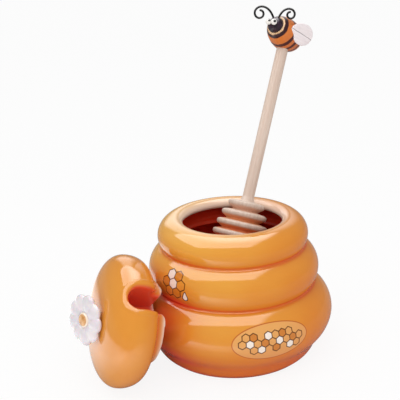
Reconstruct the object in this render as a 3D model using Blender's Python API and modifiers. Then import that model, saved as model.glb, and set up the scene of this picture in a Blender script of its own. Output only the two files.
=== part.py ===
"""Ceramic honey pot in three round tiers, its loose domed lid, and a wooden dipper with a bee.

The pot stands at the origin with +Z up. The lid is off: it stands on its edge on the table and
leans on the pot. The dipper stands on the pot's floor and leans on the mouth.
All lengths are in metres and all angles in degrees.
"""

import bmesh
import bpy
import numpy as np
from math import acos, asin, cos, pi, radians, sin, sqrt, tan, tau
from mathutils import Matrix, Vector

# Fits
seat_gap = 0.0003
cut_overrun = 0.002
merge_distance = 0.00001

# Pot: each tier is an ellipse in section, with its widest radius, height, bulge and half height
upper_tier_radius = 0.0398
upper_tier_level = 0.0643
upper_tier_bulge = 0.0095
upper_tier_half_height = 0.0095
middle_tier_radius = 0.0453
middle_tier_level = 0.0464
middle_tier_bulge = 0.0129
middle_tier_half_height = 0.0133
lower_tier_radius = 0.0525
lower_tier_level = 0.0224
lower_tier_bulge = 0.0164
lower_tier_half_height = 0.0168
wall = 0.005
inner_drop = 0.002
lip_thickness = 0.006
mouth_radius = 0.0261
floor_level = 0.0075
foot_radius = 0.0425
foot_flare_level = 0.0085
foot_edge_round = 0.0008
pot_steps = 44

# Lid: a dome over a locating flange, heights measured from the flange's lower edge
lid_radius = 0.0331
lid_height = 0.0297
lid_widest_level = 0.0162
lid_seat_radius = 0.0262
lid_wall = 0.0042
lid_roundness = 2.4
flange_radius = 0.0213
flange_edge_radius = 0.0207
flange_height = 0.0061
flange_wall = 0.0034
flange_edge_round = 0.0007
lid_steps = 40
dome_steps = 9
lid_bearing = 216.6
lid_axis_bearing = 202.0
lid_axis_rise = 13.5

# Notch in the lid's side, an arch that the dipper's handle passes through
notch_width = 0.0103
notch_top_level = 0.0212
notch_bearing = 44.5
notch_steps = 16

# Daisy knob on the lid
daisy_radius = 0.0125
petal_count = 9
petal_length = 0.0094
petal_width = 0.0074
petal_thickness = 0.0040
petal_steps = 6
petal_rings = 6
daisy_disc_radius = 0.0056
daisy_disc_thickness = 0.0026
daisy_neck_radius = 0.0040
daisy_lift = 0.0054
daisy_aside = 0.0026
daisy_above = 0.0012
daisy_tilt = 24.0
daisy_turn = 26.0
button_radius = 0.0037
button_height = 0.0012
button_recess = 0.0007

# Dipper: a turned head of rings on a round handle, lengths measured from the tip
handle_radius = 0.003175
dipper_length = 0.1657
ring_count = 12
ring_pitch = 0.0056
ring_radius = 0.0157
ring_groove = 0.0036
widest_ring = 5
upper_swell_length = 0.0366
lower_swell_length = 0.0390
tip_length = 0.0073
tip_radius = 0.0048
neck_length = 0.0030
neck_flare = 0.0008
ring_edge_share = 0.70
ring_shoulder_share = 0.05
ring_brim_share = 0.24
ring_under_share = 0.14
ring_under_level_share = 0.50
ring_groove_share = 0.90
dipper_steps = 20
dipper_bearing = 54.0
dipper_lean = 25.4
dipper_side = 0.0021

# Bee on the handle's end, lengths measured along its body from the handle's axis
bee_front = 0.0122
bee_tail = 0.0120
bee_radius = 0.0085
bee_face_radius = 0.0052
bee_turn = 182.0
bee_pitch = 6.0
bee_socket_depth = 0.0060
bee_head_radius = 0.0044
bee_head_sink = 0.0044
eye_radius = 0.0015
eye_spacing = 0.0032
eye_rise = 0.0002
eye_stand_out = 0.0012
wing_length = 0.0145
wing_width = 0.0130
wing_thickness = 0.0013
wing_root_station = 0.0066
wing_root_depth = 0.0012
wing_rise = 0.0010
wing_splay = 18.0
wing_lean = 20.0
wing_edge_round = 0.0004
wire_radius = 0.00058
wire_hole_depth = 0.0016
antenna_spread = 22.0
antenna_rise = 59.6
antenna_turn = 32.2
antenna_dip = 19.1
left_antenna_length = 0.0207
left_antenna_heading = 80.7
left_antenna_curl = -421.0
right_antenna_length = 0.0248
right_antenna_heading = 127.7
right_antenna_curl = 423.0
antenna_points = 24
curl_start_share = 0.12
wing_root_taper_share = 0.25


def collection(name):
    found = bpy.data.collections.new(name)
    bpy.context.scene.collection.children.link(found)
    return found


def material(name, colour, roughness, metallic=0.0):
    found = bpy.data.materials.new(name)
    found.use_nodes = True
    shader = found.node_tree.nodes["Principled BSDF"]
    shader.inputs["Base Color"].default_value = (*colour, 1.0)
    shader.inputs["Roughness"].default_value = roughness
    shader.inputs["Metallic"].default_value = metallic
    return found


def add_object(name, mesh, group, parent=None, surface=None):
    item = bpy.data.objects.new(name, mesh)
    group.objects.link(item)
    item.parent = parent
    if surface:
        mesh.materials.append(surface)
    return item


def add_empty(name, group, place, parent=None):
    empty = bpy.data.objects.new(name, None)
    group.objects.link(empty)
    empty.parent = parent
    empty.matrix_local = place
    return empty


def mesh_of(build):
    """A mesh made by a function that fills an empty bmesh."""
    form = bmesh.new()
    build(form)
    mesh = bpy.data.meshes.new("form")
    form.to_mesh(mesh)
    form.free()
    return mesh


def smooth(item, angle=40.0):
    item.data.shade_smooth()
    item.data.set_sharp_from_angle(angle=radians(angle))


def turned(name, outline, steps, group, parent=None, surface=None):
    """A solid of revolution about local Z from an outline of (radius, level) points."""
    mesh = bpy.data.meshes.new(name)
    points = [(r, 0.0, z) for r, z in outline]
    mesh.from_pydata(points, [(i, i + 1) for i in range(len(points) - 1)], [])
    item = add_object(name, mesh, group, parent, surface)
    screw = item.modifiers.new("turning", "SCREW")
    screw.steps = steps
    screw.render_steps = steps
    screw.use_merge_vertices = True
    screw.merge_threshold = merge_distance
    screw.use_smooth_shade = True
    return item


def subtract(item, cutter):
    cut = item.modifiers.new("cut", "BOOLEAN")
    cut.operation = "DIFFERENCE"
    cut.solver = "EXACT"
    cut.object = cutter


def unite(item, other):
    join = item.modifiers.new("join", "BOOLEAN")
    join.operation = "UNION"
    join.solver = "EXACT"
    join.object = other


def hide_tool(item):
    item.hide_render = True
    item.display_type = "WIRE"


def arc(centre_r, centre_z, semi_r, semi_z, start, end, count):
    """Points on an ellipse from one angle to another, the last angle included."""
    angles = [start + (end - start) * i / count for i in range(count + 1)]
    return [(centre_r + semi_r * cos(a), centre_z + semi_z * sin(a)) for a in angles]


# Pot

def tiers(inset=0.0, drop=0.0):
    """Centre radius, centre level, bulge and half height of each tier, from the top down."""
    rows = (
        (upper_tier_radius, upper_tier_level, upper_tier_bulge, upper_tier_half_height),
        (middle_tier_radius, middle_tier_level, middle_tier_bulge, middle_tier_half_height),
        (lower_tier_radius, lower_tier_level, lower_tier_bulge, lower_tier_half_height),
    )
    return [(r - bulge, z, bulge - inset, half - drop) for r, z, bulge, half in rows]


def radius_at(tier, level):
    centre_r, centre_z, bulge, half = tier
    share = (level - centre_z) / half
    return centre_r + bulge * sqrt(max(0.0, 1.0 - share * share))


def crease_level(upper, lower):
    """Level where the lower side of one tier meets the upper side of the next."""
    low, high = lower[1], upper[1]
    for _ in range(48):
        middle = (low + high) / 2
        if radius_at(upper, middle) > radius_at(lower, middle):
            high = middle
        else:
            low = middle
    return (low + high) / 2


def tier_angle(tier, level):
    return asin(max(-1.0, min(1.0, (level - tier[1]) / tier[3])))


def pot_side(stack, counts, start_angle, end_angle):
    """Outline down the tiers, from an angle on the first to an angle on the last."""
    creases = [crease_level(stack[0], stack[1]), crease_level(stack[1], stack[2])]
    starts = [start_angle, tier_angle(stack[1], creases[0]), tier_angle(stack[2], creases[1])]
    ends = [tier_angle(stack[0], creases[0]), tier_angle(stack[1], creases[1]), end_angle]
    points = []
    for tier, start, end, count in zip(stack, starts, ends, counts):
        side = arc(*tier, start, end, count)
        points += side if not points else side[1:]
    return points


def pot_outer():
    stack = tiers()
    points = pot_side(stack, (8, 8, 11), pi / 2, tier_angle(stack[2], foot_flare_level))
    points += [(foot_radius, foot_edge_round), (foot_radius - foot_edge_round, 0.0)]
    return points


def pot_inner():
    """Outline of the cavity, from under the lip down to the floor."""
    stack = tiers(wall, inner_drop)
    under_lip = upper_tier_half_height - lip_thickness
    points = arc(*stack[0][:3], under_lip, pi / 2, 0.0, 3)
    points += pot_side(stack, (3, 7, 5), 0.0, 0.0)[1:]
    points += arc(*stack[2][:3], lower_tier_level - floor_level, 0.0, -pi / 2, 5)[1:]
    return points


def pot_lip():
    """Rounded edge of the mouth, from its underside over the inner side to the crown."""
    centre_r = upper_tier_radius - upper_tier_bulge
    crown = upper_tier_level + upper_tier_half_height
    half = lip_thickness / 2
    return arc(centre_r, crown - half, centre_r - mouth_radius, half, -pi / 2, -3 * pi / 2, 8)[1:-1]


def pot_outline():
    cavity = [(0.0, floor_level)] + pot_inner()[::-1]
    return cavity + pot_lip() + pot_outer() + [(0.0, 0.0)]


def pot(group):
    glaze = material("amber_glaze", (0.80, 0.34, 0.06), 0.12)
    return turned("pot_body", pot_outline(), pot_steps, group, None, glaze)


# Seats: how near a set of points comes to the pot's wall, worked out in its section

def signed_gaps(points, outline):
    """Distance from each (radius, level) point to a closed outline, negative inside it."""
    ring = np.array(outline)
    start, end = ring, np.roll(ring, -1, axis=0)
    edge = end - start
    reach = points[:, None, :] - start[None]
    along = np.clip((reach * edge).sum(-1) / np.maximum((edge ** 2).sum(-1), np.finfo(float).tiny), 0.0, 1.0)
    gaps = np.sqrt(((reach - along[..., None] * edge) ** 2).sum(-1)).min(axis=1)
    above = (start[:, 1] > points[:, None, 1]) != (end[:, 1] > points[:, None, 1])
    rise = np.where(edge[:, 1] == 0.0, 1.0, edge[:, 1])
    cross = start[:, 0] + edge[:, 0] * (points[:, None, 1] - start[:, 1]) / rise
    inside = (above & (points[:, None, 0] < cross)).sum(axis=1) % 2 == 1
    return np.where(inside, -gaps, gaps)


def turned_points(outline, place, steps=96):
    """Points on a turned surface, in the world, as an array of (x, y, z)."""
    ring = np.array(outline)
    angles = np.arange(steps) * tau / steps
    local = np.stack([
        np.outer(ring[:, 0], np.cos(angles)),
        np.outer(ring[:, 0], np.sin(angles)),
        np.repeat(ring[:, 1:], steps, axis=1),
    ], axis=-1).reshape(-1, 3)
    frame = np.array(place)
    return local @ frame[:3, :3].T + frame[:3, 3]


def gap_to_pot(outline, place, pot_section):
    points = turned_points(outline, place)
    section = np.stack([np.hypot(points[:, 0], points[:, 1]), points[:, 2]], axis=-1)
    return signed_gaps(section, pot_section).min()


def last_clear(near, far, gap_at):
    """The value nearest to near, on the way to far, that still leaves the seat gap."""
    for _ in range(24):
        middle = (near + far) / 2
        if gap_at(middle) < seat_gap:
            near = middle
        else:
            far = middle
    return far


# Lid

def dome(radius, height):
    """Upper side of the dome, from its top down to its widest line."""
    angles = [pi / 2 * i / dome_steps for i in range(dome_steps + 1)]
    power = 2.0 / lid_roundness
    rise = height - lid_widest_level
    return [(radius * max(0.0, sin(a)) ** power, lid_widest_level + rise * max(0.0, cos(a)) ** power)
            for a in angles]


def lid_outer():
    underside = arc(lid_seat_radius, lid_widest_level, lid_radius - lid_seat_radius,
                    lid_widest_level - flange_height, 0.0, -pi / 2, 6)[1:]
    edge = [(flange_edge_radius, flange_edge_round), (flange_edge_radius - flange_edge_round, 0.0)]
    return dome(lid_radius, lid_height) + underside + [(flange_radius, flange_height)] + edge


def lid_inner():
    bore = flange_edge_radius - flange_wall
    inner_radius = lid_radius - lid_wall
    ceiling = dome(inner_radius, lid_height - lid_wall)
    shelf = flange_height + lid_wall
    widest = [point for point in ceiling if point[0] > bore]
    lower = arc(bore, lid_widest_level, inner_radius - bore, lid_widest_level - shelf,
                0.0, -pi / 2, 4)[1:]
    return [(bore + flange_edge_round, 0.0), (bore, flange_edge_round)] + lower[::-1] + ceiling[::-1]


def lid_outline():
    return lid_outer() + lid_inner()


def lid_turn():
    """Rotation that lays the lid's axis over: local Z along the axis, local X level."""
    bearing, rise = radians(lid_axis_bearing), radians(lid_axis_rise)
    axis = Vector((cos(rise) * cos(bearing), cos(rise) * sin(bearing), sin(rise)))
    level = Vector((0.0, 0.0, 1.0)).cross(axis).normalized()
    turn = Matrix((level, axis.cross(level), axis)).transposed()
    return turn.to_4x4()


def lid_place():
    """The lid stands on the table and leans on the pot with the seat gap."""
    rise = radians(lid_axis_rise)
    level = max(r * cos(rise) - z * sin(rise) for r, z in lid_outer())
    away = Vector((cos(radians(lid_bearing)), sin(radians(lid_bearing)), 0.0))
    turn, section = lid_turn(), pot_outline()

    def place(distance):
        return Matrix.Translation(away * distance + Vector((0.0, 0.0, level))) @ turn

    reach = lower_tier_radius + lid_radius + lid_height
    distance = last_clear(0.0, reach, lambda d: gap_to_pot(lid_outer(), place(d), section))
    return place(distance)


def notch_cutter(group, parent):
    """Arch on its side: a straight slot from below the flange up to a round top."""
    half = notch_width / 2
    reach = lid_radius + cut_overrun
    spring = notch_top_level - half
    turn = Matrix.Rotation(radians(notch_bearing), 4, "Z")

    def slot(form):
        low = -cut_overrun
        size = Matrix.Diagonal((reach, notch_width, spring - low, 1.0))
        middle = Matrix.Translation((reach / 2, 0.0, (spring + low) / 2))
        bmesh.ops.create_cube(form, size=1.0, matrix=turn @ middle @ size)

    def top(form):
        tip = Matrix.Translation((reach / 2, 0.0, spring)) @ Matrix.Rotation(pi / 2, 4, "Y")
        bmesh.ops.create_cone(form, cap_ends=True, segments=notch_steps * 2, radius1=half,
                              radius2=half, depth=reach, matrix=turn @ tip)

    tools = [add_object("notch_slot", mesh_of(slot), group, parent)]
    tools.append(add_object("notch_top", mesh_of(top), group, parent))
    for tool in tools:
        hide_tool(tool)
    return tools


def lid(group, tools, axis):
    glaze = material("amber_glaze_lid", (0.80, 0.34, 0.06), 0.12)
    shell = turned("lid_dome", lid_outline(), lid_steps, group, axis, glaze)
    for cutter in notch_cutter(tools, axis):
        subtract(shell, cutter)
    return shell


# Daisy knob

def ellipsoid(form, centre, size, segments, rings, turn=None):
    shape = Matrix.Diagonal((*size, 1.0))
    place = (turn or Matrix.Identity(4)) @ Matrix.Translation(centre) @ shape
    bmesh.ops.create_uvsphere(form, u_segments=segments, v_segments=rings, radius=1.0, matrix=place)


def daisy_axis(group, lid_axis):
    """The daisy stands on a short neck beside the dome's top, tilted to the same side."""
    place = Matrix.Translation((daisy_aside, daisy_above, lid_height + daisy_lift))
    turn = Matrix.Rotation(radians(daisy_tilt), 4, "Y")
    return add_empty("daisy_axis", group, place @ turn, lid_axis)


def petal_reach(angle):
    """Distance from the daisy's middle to the outer edge of its nearest petal."""
    middle, half_long, half_wide = daisy_radius - petal_length / 2, petal_length / 2, petal_width / 2
    a = (cos(angle) / half_long) ** 2 + (sin(angle) / half_wide) ** 2
    b = -middle * cos(angle) / half_long ** 2
    c = (middle / half_long) ** 2 - 1.0
    return (-b + sqrt(b * b - a * c)) / a


def petal_height(reach, angle):
    """Half thickness of the daisy: its nearest petal or its middle disc, whichever is thicker."""
    along = (reach * cos(angle) - daisy_radius + petal_length / 2) / (petal_length / 2)
    across = reach * sin(angle) / (petal_width / 2)
    petal = petal_thickness / 2 * sqrt(max(0.0, 1.0 - along ** 2 - across ** 2))
    disc = daisy_disc_thickness / 2 * sqrt(max(0.0, 1.0 - (reach / daisy_disc_radius) ** 2))
    return max(petal, disc)


def petals(form):
    """Nine plump petals run together round a disc, the same above and below."""
    rays = petal_count * petal_steps
    edge, upper, lower = [], [], []
    for i in range(rays):
        angle = tau * i / rays
        nearest = tau / petal_count * round(i / petal_steps)
        reach = petal_reach(angle - nearest)
        heading = angle + pi + radians(daisy_turn)
        way = Vector((cos(heading), sin(heading), 0.0))
        edge.append(form.verts.new(way * reach))
        for side, column in ((1.0, upper), (-1.0, lower)):
            spots = []
            for step in range(1, petal_rings):
                inward = reach * cos(pi / 2 * step / petal_rings)
                height = side * petal_height(inward, angle - nearest)
                spots.append(form.verts.new(way * inward + Vector((0.0, 0.0, height))))
            column.append(spots)
    for side, column in ((1.0, upper), (-1.0, lower)):
        hub = form.verts.new((0.0, 0.0, side * daisy_disc_thickness / 2))
        for i in range(rays):
            k = (i + 1) % rays
            here, there = [edge[i]] + column[i], [edge[k]] + column[k]
            for j in range(petal_rings - 1):
                form.faces.new((here[j], there[j], there[j + 1], here[j + 1]))
            form.faces.new((here[-1], there[-1], hub))
    bmesh.ops.recalc_face_normals(form, faces=form.faces)


def upright(radius, low, high, segments, aside=(0.0, 0.0)):
    """Maker of an upright cylinder between two levels."""
    def form_cylinder(form):
        middle = Matrix.Translation((*aside, (low + high) / 2))
        bmesh.ops.create_cone(form, cap_ends=True, segments=segments, radius1=radius, radius2=radius,
                              depth=high - low, matrix=middle)

    return form_cylinder


def daisy(group, tools, axis, lid_axis):
    white = material("white_glaze", (0.82, 0.80, 0.80), 0.18)
    flower = add_object("daisy_petals", mesh_of(petals), group, axis, white)
    foot = (daisy_aside, daisy_above)
    stem = upright(daisy_neck_radius, lid_height + seat_gap, lid_height + daisy_lift, 18, foot)
    neck = add_object("daisy_neck", mesh_of(stem), tools, lid_axis)
    top = daisy_disc_thickness / 2
    recess = upright(button_radius + seat_gap, top - button_recess, top + cut_overrun, 20)
    pocket = add_object("button_pocket", mesh_of(recess), tools, axis)
    unite(flower, neck)
    subtract(flower, pocket)
    for tool in (neck, pocket):
        hide_tool(tool)
    return flower


def daisy_button(group, axis):
    orange = material("orange_glaze", (0.70, 0.26, 0.05), 0.2)
    low = daisy_disc_thickness / 2 - button_recess + seat_gap
    crown = arc(0.0, low, button_radius, button_height, pi / 2, 0.0, 5)
    return turned("daisy_centre", crown + [(0.0, low)], 20, group, axis, orange)


# Dipper

def ring_size(index):
    """Radius of one ring of the head, counted down from the handle."""
    offset = (index - widest_ring) * ring_pitch
    half = upper_swell_length if index < widest_ring else lower_swell_length
    return ring_radius * sqrt(1.0 - (offset / half) ** 2)


def head_outline():
    """Rings like stacked saucers: a round upper edge and an underside that draws in to the core."""
    points = []
    top = tip_length + ring_count * ring_pitch
    for i in range(ring_count):
        level = top - i * ring_pitch
        edge = ring_size(i)
        core = edge - ring_groove
        following = ring_size(min(i + 1, ring_count - 1)) - ring_groove
        points += [
            (core + ring_groove * ring_edge_share, level - ring_pitch * ring_shoulder_share),
            (edge, level - ring_pitch * ring_brim_share),
            (edge - ring_groove * ring_under_share, level - ring_pitch * ring_under_level_share),
            (min(core, following), level - ring_pitch * ring_groove_share),
        ]
    return points


def dipper_outline():
    top = tip_length + ring_count * ring_pitch
    tip = arc(0.0, tip_radius, tip_radius, tip_radius, 0.0, -pi / 2, 4)
    neck = [(handle_radius, top + neck_length), (handle_radius + neck_flare, top)]
    end = [(0.0, dipper_length), (handle_radius, dipper_length)]
    return end + neck + head_outline() + tip[:-1] + [(0.0, 0.0)]


def dipper_place():
    """The dipper's tip stands on the pot's floor and its head leans on the mouth."""
    turn = Matrix.Rotation(radians(dipper_bearing), 4, "Z") @ Matrix.Rotation(radians(dipper_lean), 4, "Y")
    bearing = radians(dipper_bearing)
    ahead = Vector((cos(bearing), sin(bearing), 0.0))
    aside = Vector((-sin(bearing), cos(bearing), 0.0))
    outline, section = dipper_outline(), pot_outline()
    low = min((turn @ Vector((r, 0.0, z))).z for r, z in outline for r in (r, -r))
    level = floor_level + seat_gap - low

    def place(distance):
        spot = aside * dipper_side + ahead * distance + Vector((0.0, 0.0, level))
        return Matrix.Translation(spot) @ turn

    def gap_above_floor(distance):
        points = turned_points(outline, place(distance))
        upper = points[points[:, 2] > lower_tier_level]
        flat = np.stack([np.hypot(upper[:, 0], upper[:, 1]), upper[:, 2]], axis=-1)
        return signed_gaps(flat, section).min()

    crown = upper_tier_level + upper_tier_half_height
    centred = -tan(radians(dipper_lean)) * (crown - floor_level)
    return place(last_clear(0.0, centred, gap_above_floor))


def dipper(group, axis):
    wood = material("beech", (0.72, 0.52, 0.36), 0.55)
    return turned("honey_dipper", dipper_outline(), dipper_steps, group, axis, wood)


# Bee

def bee_place():
    """The body's axis crosses the handle's axis above the handle's end."""
    level = dipper_length + seat_gap + bee_radius - bee_socket_depth
    turn = Matrix.Rotation(radians(bee_turn), 4, "Z") @ Matrix.Rotation(-radians(bee_pitch), 4, "Y")
    return Matrix.Translation((0.0, 0.0, level)) @ turn


def bee_swell():
    """Half length of the ellipse that the bead's front is cut from."""
    return bee_front / sqrt(1.0 - (bee_face_radius / bee_radius) ** 2)


def bee_outline(grow=0.0):
    """Bead from its flat face to its tail, as (radius, station) points."""
    nose = arc(0.0, 0.0, bee_radius, bee_swell(), acos(bee_face_radius / bee_radius), 0.0, 4)
    back = arc(0.0, 0.0, bee_radius, bee_tail, 0.0, -pi / 2, 7)[1:-1]
    side = [(r + grow, z) for r, z in nose + back]
    return [(0.0, bee_front)] + side + [(0.0, -bee_tail - grow)]


def along_x():
    return Matrix.Rotation(pi / 2, 4, "Y")


def head_place():
    return Matrix.Translation((bee_front + bee_head_radius - bee_head_sink, 0.0, 0.0))


def ball(name, radius, segments, group, parent, place, surface=None):
    mesh = mesh_of(lambda form: ellipsoid(form, Vector(), (radius,) * 3, segments, segments // 2 + 2))
    item = add_object(name, mesh, group, parent, surface)
    item.matrix_local = place
    return item


def rod(name, radius, start, end, group, parent):
    """Round cutter between two points."""
    way = Vector(end) - Vector(start)
    turn = way.to_track_quat("Z", "Y").to_matrix().to_4x4()
    middle = Matrix.Translation((Vector(start) + Vector(end)) / 2)

    def form_rod(form):
        bmesh.ops.create_cone(form, cap_ends=True, segments=16, radius1=radius, radius2=radius,
                              depth=way.length, matrix=middle @ turn)

    item = add_object(name, mesh_of(form_rod), group, parent)
    hide_tool(item)
    return item


def bee_body(group, tools, axis, dipper_axis):
    orange = material("orange_paint", (0.62, 0.20, 0.04), 0.4)
    body = turned("bee_body", bee_outline(), 20, group, axis, orange)
    body.matrix_local = along_x()
    hole = handle_radius + seat_gap
    top = dipper_length + seat_gap
    low = top - bee_socket_depth - bee_radius
    subtract(body, rod("handle_socket", hole, (0.0, 0.0, low), (0.0, 0.0, top), tools, dipper_axis))
    cup = ball("head_cup", bee_head_radius + seat_gap, 20, tools, axis, head_place())
    hide_tool(cup)
    subtract(body, cup)
    return body


def antenna_frame():
    """Sideways and upward directions of the plane that the two wires curl in."""
    turn, dip = radians(antenna_turn), radians(antenna_dip)
    side = Vector((-sin(turn), cos(turn), 0.0))
    rise = Vector((sin(dip) * cos(turn), sin(dip) * sin(turn), cos(dip)))
    return side, rise


def antenna_root(hand):
    spread, rise = radians(antenna_spread), radians(antenna_rise)
    way = Vector((cos(spread) * cos(rise), hand * sin(spread), cos(spread) * sin(rise)))
    return head_place().translation + way * bee_head_radius


def antenna_way(heading):
    side, rise = antenna_frame()
    return side * cos(heading) + rise * sin(heading)


def antenna_path(hand, length, heading, curl):
    """A straight root in the head, then a curl that tightens steadily to its end."""
    start = radians(heading)
    spot = antenna_root(hand)
    points = [spot - antenna_way(start) * wire_hole_depth, spot.copy()]
    for i in range(antenna_points):
        share = (i + 0.5) / antenna_points
        bend = curl_start_share * share + (1.0 - curl_start_share) * share * share
        spot += antenna_way(start + radians(curl) * bend) * (length / antenna_points)
        points.append(spot.copy())
    return points


def wire(name, points, group, parent, surface):
    curve = bpy.data.curves.new(name, "CURVE")
    curve.dimensions = "3D"
    curve.bevel_depth = wire_radius
    curve.bevel_resolution = 1
    curve.use_fill_caps = True
    spline = curve.splines.new("POLY")
    spline.points.add(len(points) - 1)
    for spot, point in zip(spline.points, points):
        spot.co = (*point, 1.0)
    return add_object(name, curve, group, parent, surface)


def bee_head(group, tools, axis):
    black = material("black_paint", (0.03, 0.02, 0.03), 0.3)
    white = material("white_paint", (0.8, 0.78, 0.74), 0.35)
    wire_black = material("black_wire", (0.02, 0.02, 0.02), 0.35, 0.6)
    head = ball("bee_head", bee_head_radius, 18, group, axis, head_place(), black)
    reach = bee_head_radius + eye_stand_out
    side = eye_spacing / 2
    front = sqrt(reach ** 2 - side ** 2 - eye_rise ** 2)
    cup = ball("eye_cup", bee_head_radius + seat_gap, 24, tools, axis, head_place())
    hide_tool(cup)
    sides = (
        ("left", 1, left_antenna_length, left_antenna_heading, left_antenna_curl),
        ("right", -1, right_antenna_length, right_antenna_heading, right_antenna_curl),
    )
    for name, hand, length, heading, curl in sides:
        place = head_place() @ Matrix.Translation((front, hand * side, eye_rise))
        eye = ball(f"bee_eye_{name}", eye_radius, 10, group, axis, place, white)
        subtract(eye, cup)
        path = antenna_path(hand, length, heading, curl)
        wire(f"bee_antenna_{name}", path, group, axis, wire_black)
        way = antenna_way(radians(heading))
        hole = rod(f"wire_hole_{name}", wire_radius + seat_gap, path[0] - way * seat_gap,
                   path[1] + way * cut_overrun, tools, axis)
        subtract(head, hole)
    return head


def wing(name, hand, group, axis, body_cutter, surface):
    """Flat paddle on edge in the bee's side, swept back from its root, its top edge leaning outwards."""
    long = wing_length + wing_root_depth

    def paddle(form):
        bmesh.ops.create_cone(form, cap_ends=True, segments=24, radius1=1.0, radius2=1.0, depth=1.0)
        for vert in form.verts:
            taper = 1.0 - wing_root_taper_share * (1.0 + vert.co.x) / 2
            across = vert.co.y * taper * wing_width / 2
            vert.co = (vert.co.x * long / 2, vert.co.z * wing_thickness, across)

    item = add_object(name, mesh_of(paddle), group, axis, surface)
    splay = Matrix.Rotation(-hand * radians(wing_splay), 4, "Z")
    lean = Matrix.Rotation(-hand * radians(wing_lean), 4, "X")
    side = bee_radius * sqrt(1.0 - (wing_root_station / bee_swell()) ** 2)
    root = Matrix.Translation((wing_root_station, hand * side, wing_rise))
    item.matrix_local = root @ splay @ lean @ Matrix.Translation(((wing_root_depth - wing_length) / 2, 0.0, 0.0))
    edge = item.modifiers.new("edge", "BEVEL")
    edge.width = wing_edge_round
    edge.segments = 2
    edge.limit_method = "ANGLE"
    subtract(item, body_cutter)
    return item


def bee(group, tools, dipper_axis):
    axis = add_empty("bee_axis", group, bee_place(), dipper_axis)
    body = bee_body(group, tools, axis, dipper_axis)
    head = bee_head(group, tools, axis)
    white = material("white_wing", (0.80, 0.78, 0.80), 0.5)
    cutter = turned("wing_root_cutter", bee_outline(seat_gap), 20, tools, axis)
    cutter.matrix_local = along_x()
    hide_tool(cutter)
    wings = [wing("bee_wing_left", 1, group, axis, cutter, white),
             wing("bee_wing_right", -1, group, axis, cutter, white)]
    return [body, head] + wings


def build():
    for item in list(bpy.data.objects):
        bpy.data.objects.remove(item)
    group, tools = collection("honey_pot"), collection("cutters")
    pot(group)
    lid_axis = add_empty("lid_axis", group, lid_place())
    lid(group, tools, lid_axis)
    knob_axis = daisy_axis(group, lid_axis)
    smooth(daisy(group, tools, knob_axis, lid_axis))
    daisy_button(group, knob_axis)
    dipper_axis = add_empty("dipper_axis", group, dipper_place())
    dipper(group, dipper_axis)
    for item in bee(group, tools, dipper_axis):
        smooth(item)


build()
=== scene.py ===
"""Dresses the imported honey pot: a glazed beehive pot, its loose lid with a daisy knob, a beech dipper with a bee.

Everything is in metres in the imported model's frame: the pot stands at the origin and +Z is up.
"""

import bmesh
import bpy
import numpy as np
from mathutils import Matrix, Vector


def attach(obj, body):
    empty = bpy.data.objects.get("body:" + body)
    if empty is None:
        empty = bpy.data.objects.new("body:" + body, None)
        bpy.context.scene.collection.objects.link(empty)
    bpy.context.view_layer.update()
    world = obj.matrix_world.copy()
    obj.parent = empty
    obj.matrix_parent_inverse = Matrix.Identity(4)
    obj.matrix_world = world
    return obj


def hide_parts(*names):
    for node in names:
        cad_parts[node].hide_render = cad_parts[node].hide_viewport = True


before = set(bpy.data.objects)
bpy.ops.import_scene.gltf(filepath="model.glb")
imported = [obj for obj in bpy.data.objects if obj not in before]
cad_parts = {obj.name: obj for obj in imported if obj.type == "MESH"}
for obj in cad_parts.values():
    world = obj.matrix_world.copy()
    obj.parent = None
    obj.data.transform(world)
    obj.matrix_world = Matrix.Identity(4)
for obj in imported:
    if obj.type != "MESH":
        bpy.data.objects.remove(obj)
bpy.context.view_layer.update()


# Camera
# It looks down at the pot from straight in front, turned a little to the left and rolled by two degrees.
# The place and the lens come from the pot's rims, the lid's outline and the dipper in the photograph.

camera_spot = Vector((0.0, -0.3850, 0.2105))
camera_right = Vector((0.99877, 0.02969, -0.03959))
camera_up = Vector((0.02818, 0.31654, 0.94816))
camera_data = bpy.data.cameras.new("photo_camera")
camera_data.lens = 69.70
camera_data.sensor_width = 36.0
camera_data.clip_start = 0.01
camera = bpy.data.objects.new("photo_camera", camera_data)
camera.matrix_world = Matrix((camera_right, camera_up, camera_right.cross(camera_up))).transposed().to_4x4()
camera.location = camera_spot
bpy.context.scene.collection.objects.link(camera)
bpy.context.scene.camera = camera


# Studio
# A white table that runs on as a white sweep, under two large softboxes overhead and two behind. They show
# as cream bands along each tier, on the lip's crown and on the lid's dome. Two low lamps on the table fade
# up the lid, and a soft fill lights the front without showing in the glaze.

def linear(colour):
    """The linear RGBA of an sRGB colour written as six hex digits."""
    shares = np.array([int(colour[i:i + 2], 16) for i in (0, 2, 4)]) / 255
    bent = np.where(shares <= 0.04045, shares / 12.92, ((shares + 0.055) / 1.055) ** 2.4)
    return (*bent.tolist(), 1.0)


def set_inputs(node, inputs):
    """Sets a node's inputs, each to a value, an output, a node's first output, or a mesh's mark by its name."""
    for key, value in inputs.items():
        if isinstance(value, str):
            value = add_node(node.id_data, "Attribute", attribute_name=value).outputs["Fac"]
        if isinstance(value, bpy.types.Node):
            value = value.outputs[0]
        if isinstance(value, bpy.types.NodeSocket):
            node.id_data.links.new(value, node.inputs[key])
        else:
            node.inputs[key].default_value = value


def add_node(tree, kind, inputs=None, stops=(), **settings):
    """Adds one node with its settings and inputs. Stops fill a colour ramp, each (place, colour)."""
    node = tree.nodes.new("ShaderNode" + kind)
    for key, value in settings.items():
        setattr(node, key, value)
    set_inputs(node, inputs or {})
    for i, (place, colour) in enumerate(stops):
        ramp = node.color_ramp.elements
        spot = ramp[i] if i < len(ramp) else ramp.new(place)
        spot.position, spot.color = place, linear(colour)
    return node


def empty_tree(owner):
    """The node tree of a lamp, a world or a material, emptied."""
    owner.use_nodes = True
    owner.node_tree.nodes.clear()
    return owner.node_tree


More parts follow.
